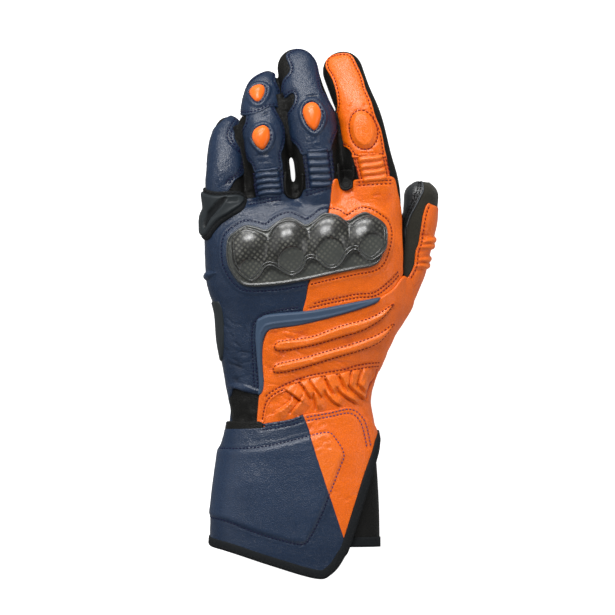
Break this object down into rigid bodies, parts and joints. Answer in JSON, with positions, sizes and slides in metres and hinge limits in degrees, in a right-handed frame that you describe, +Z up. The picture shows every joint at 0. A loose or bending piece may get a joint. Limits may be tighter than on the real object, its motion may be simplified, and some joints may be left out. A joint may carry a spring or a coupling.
{
  "type": "motorcycle gauntlet glove",
  "caption": "Left-hand motorcycle racing gauntlet in navy, orange and black leather with a domed carbon knuckle guard, rubber sliders and a wrapped, bound cuff flap.",
  "frame": {"origin": "on the surface it lies on, below the middle of its footprint", "axes": "+Y from the cuff to the fingertips, +X towards the thumb, +Z up out of the back of the hand"},
  "size_m": [0.144, 0.319, 0.0557],
  "materials": {
    "navy_leather": "fine-grained cowhide, semi-gloss",
    "orange_leather": "fine-grained cowhide, semi-gloss",
    "black_leather": "smooth and suede goatskin, matt",
    "black_fabric": "dense matt stretch fabric",
    "black_binding": "matt edge binding",
    "carbon": "carbon fibre weave under clear gloss resin",
    "orange_insert": "smooth gloss",
    "slider_rubber": "satin moulded rubber",
    "blue_rubber": "satin moulded rubber"
  },
  "bodies": {
    "root": {"pinky_back": "navy_leather", "ring_back": "navy_leather", "middle_back": "navy_leather", "ring_stretch": "navy_leather", "middle_stretch": "navy_leather", "hand_back_navy": "navy_leather", "flap_navy": "navy_leather", "index_back": "orange_leather", "index_stretch": "orange_leather", "thumb_back": "orange_leather", "thumb_stretch": "orange_leather", "thumb_tip_panel": "orange_leather", "hand_back_orange": "orange_leather", "wrist_panel_orange": "orange_leather", "quilt_upper": "orange_leather", "quilt_lower": "orange_leather", "flap_orange": "orange_leather", "palm": "black_leather", "pinky_front": "black_leather", "ring_front": "black_leather", "middle_front": "black_leather", "index_front": "black_leather", "thumb_front": "black_leather", "inner_cuff": "black_fabric", "cuff_hem": "black_fabric", "wrist_strap": "black_fabric", "flap_binding": "black_binding", "knuckle_guard": "carbon", "insert_index": "orange_insert", "insert_middle": "orange_insert", "insert_ring": "orange_insert", "insert_ring_tip": "orange_insert", "knuckle_slider": "slider_rubber", "heel_slider": "slider_rubber", "rubber_rib": "blue_rubber"}
  },
  "joints": []
}
